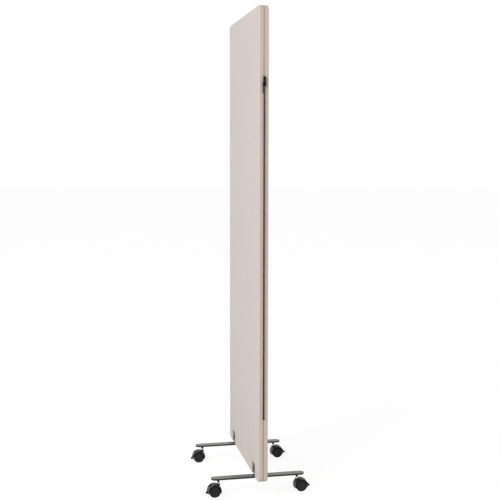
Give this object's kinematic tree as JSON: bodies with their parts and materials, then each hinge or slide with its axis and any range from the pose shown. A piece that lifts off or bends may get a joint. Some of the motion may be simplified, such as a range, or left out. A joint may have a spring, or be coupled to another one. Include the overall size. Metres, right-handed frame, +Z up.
{
  "type": "rolling partition",
  "caption": "Tall felt acoustic panel that rolls on flat steel feet with braked twin-wheel casters, and zips to its neighbours along both side edges.",
  "frame": {"origin": "on the floor, under the middle of the panel", "axes": "+X along the panel's width, towards the side edge with the zip's slider; +Y through its thickness, towards the rear face; +Z up"},
  "size_m": [0.6206, 0.3753, 1.681],
  "materials": {
    "felt": "heathered felt",
    "frame_tube": "satin",
    "core": "fibre",
    "bonding": "matt",
    "foot_bar": "satin",
    "bracket": "satin",
    "fasteners": "black oxide",
    "frame_fasteners": "bright",
    "zip_tape": "woven",
    "zip_chain": "matt",
    "zip_metal": "satin",
    "pull": "satin",
    "stem": "polished",
    "axle": "ground",
    "caster_plastic": "satin",
    "wheel": "satin"
  },
  "bodies": {
    "panel": {"front_felt_shell": "felt", "rear_felt_shell": "felt", "left_stile": "frame_tube", "right_stile": "frame_tube", "top_rail": "frame_tube", "middle_rail": "frame_tube", "bottom_rail": "frame_tube", "rail_inserts": "frame_fasteners", "frame_screws": "frame_fasteners", "upper_core": "core", "lower_core": "core", "front_bonding_strips": "bonding", "rear_bonding_strips": "bonding", "left_foot_bar": "foot_bar", "right_foot_bar": "foot_bar", "left_foot_bracket": "bracket", "right_foot_bracket": "bracket", "bracket_bolts": "fasteners", "bracket_nuts": "fasteners", "bar_screws": "fasteners", "left_zip_tape": "zip_tape", "right_zip_tape": "zip_tape", "left_zip_chain": "zip_chain", "right_zip_chain": "zip_chain", "left_zip_pin": "zip_metal", "right_zip_box": "zip_metal", "zip_end_stops": "zip_metal", "front_left_stem": "stem", "front_left_collar": "caster_plastic", "front_right_stem": "stem", "front_right_collar": "caster_plastic", "rear_left_stem": "stem", "rear_left_collar": "caster_plastic", "rear_right_stem": "stem", "rear_right_collar": "caster_plastic"},
    "zip_slider": {"zip_slider": "zip_metal"},
    "zip_pull_tab": {"zip_pull_tab": "pull"},
    "front_left_caster": {"front_left_hood": "caster_plastic", "front_left_axle": "axle"},
    "front_left_outer_wheel": {"front_left_outer_wheel": "wheel"},
    "front_left_inner_wheel": {"front_left_inner_wheel": "wheel"},
    "front_left_brake_lever": {"front_left_brake_lever": "caster_plastic"},
    "front_right_caster": {"front_right_hood": "caster_plastic", "front_right_axle": "axle"},
    "front_right_outer_wheel": {"front_right_outer_wheel": "wheel"},
    "front_right_inner_wheel": {"front_right_inner_wheel": "wheel"},
    "front_right_brake_lever": {"front_right_brake_lever": "caster_plastic"},
    "rear_left_caster": {"rear_left_hood": "caster_plastic", "rear_left_axle": "axle"},
    "rear_left_outer_wheel": {"rear_left_outer_wheel": "wheel"},
    "rear_left_inner_wheel": {"rear_left_inner_wheel": "wheel"},
    "rear_left_brake_lever": {"rear_left_brake_lever": "caster_plastic"},
    "rear_right_caster": {"rear_right_hood": "caster_plastic", "rear_right_axle": "axle"},
    "rear_right_outer_wheel": {"rear_right_outer_wheel": "wheel"},
    "rear_right_inner_wheel": {"rear_right_inner_wheel": "wheel"},
    "rear_right_brake_lever": {"rear_right_brake_lever": "caster_plastic"}
  },
  "joints": [
    {"name": "front_left_swivel", "type": "hinge", "parent": "panel", "child": "front_left_caster", "pos_m": [-0.205, -0.1405, 0.05], "axis": [0, 0, 1], "continuous": true},
    {"name": "front_left_outer_wheel_spin", "type": "hinge", "parent": "front_left_caster", "child": "front_left_outer_wheel", "pos_m": [-0.20598, -0.15447, 0.02], "axis": [-0.9976, 0.0698, 0], "continuous": true},
    {"name": "front_left_inner_wheel_spin", "type": "hinge", "parent": "front_left_caster", "child": "front_left_inner_wheel", "pos_m": [-0.20598, -0.15447, 0.02], "axis": [-0.9976, 0.0698, 0], "continuous": true},
    {"name": "front_left_brake", "type": "hinge", "parent": "front_left_caster", "child": "front_left_brake_lever", "pos_m": [-0.20683, -0.16662, 0.03951], "axis": [0.9976, -0.0698, 0], "range_deg": [-10, 0]},
    {"name": "front_right_swivel", "type": "hinge", "parent": "panel", "child": "front_right_caster", "pos_m": [0.205, -0.1405, 0.05], "axis": [0, 0, 1], "continuous": true},
    {"name": "front_right_outer_wheel_spin", "type": "hinge", "parent": "front_right_caster", "child": "front_right_outer_wheel", "pos_m": [0.205, -0.1545, 0.02], "axis": [-1, 0, 0], "continuous": true},
    {"name": "front_right_inner_wheel_spin", "type": "hinge", "parent": "front_right_caster", "child": "front_right_inner_wheel", "pos_m": [0.205, -0.1545, 0.02], "axis": [-1, 0, 0], "continuous": true},
    {"name": "front_right_brake", "type": "hinge", "parent": "front_right_caster", "child": "front_right_brake_lever", "pos_m": [0.205, -0.16669, 0.03951], "axis": [1, 0, 0], "range_deg": [-10, 0]},
    {"name": "rear_left_swivel", "type": "hinge", "parent": "panel", "child": "rear_left_caster", "pos_m": [-0.205, 0.1405, 0.05], "axis": [0, 0, 1], "continuous": true},
    {"name": "rear_left_outer_wheel_spin", "type": "hinge", "parent": "rear_left_caster", "child": "rear_left_outer_wheel", "pos_m": [-0.20549, 0.15449, 0.02], "axis": [0.9994, 0.0349, 0], "continuous": true},
    {"name": "rear_left_inner_wheel_spin", "type": "hinge", "parent": "rear_left_caster", "child": "rear_left_inner_wheel", "pos_m": [-0.20549, 0.15449, 0.02], "axis": [0.9994, 0.0349, 0], "continuous": true},
    {"name": "rear_left_brake", "type": "hinge", "parent": "rear_left_caster", "child": "rear_left_brake_lever", "pos_m": [-0.20591, 0.16667, 0.03951], "axis": [-0.9994, -0.0349, 0], "range_deg": [0, 10]},
    {"name": "rear_right_swivel", "type": "hinge", "parent": "panel", "child": "rear_right_caster", "pos_m": [0.205, 0.1405, 0.05], "axis": [0, 0, 1], "continuous": true},
    {"name": "rear_right_outer_wheel_spin", "type": "hinge", "parent": "rear_right_caster", "child": "rear_right_outer_wheel", "pos_m": [0.20451, 0.15449, 0.02], "axis": [0.9994, 0.0349, 0], "continuous": true},
    {"name": "rear_right_inner_wheel_spin", "type": "hinge", "parent": "rear_right_caster", "child": "rear_right_inner_wheel", "pos_m": [0.20451, 0.15449, 0.02], "axis": [0.9994, 0.0349, 0], "continuous": true},
    {"name": "rear_right_brake", "type": "hinge", "parent": "rear_right_caster", "child": "rear_right_brake_lever", "pos_m": [0.20409, 0.16667, 0.03951], "axis": [-0.9994, -0.0349, 0], "range_deg": [0, 10]},
    {"name": "zip_slide", "type": "slide", "parent": "panel", "child": "zip_slider", "axis": [0, 0, 1], "range_m": [-1.119, 0]},
    {"name": "pull_tab_hinge", "type": "hinge", "parent": "zip_slider", "child": "zip_pull_tab", "pos_m": [0.3077, -0.0053, 1.4235], "axis": [-1, 0, 0], "range_deg": [0, 170]}
  ]
}
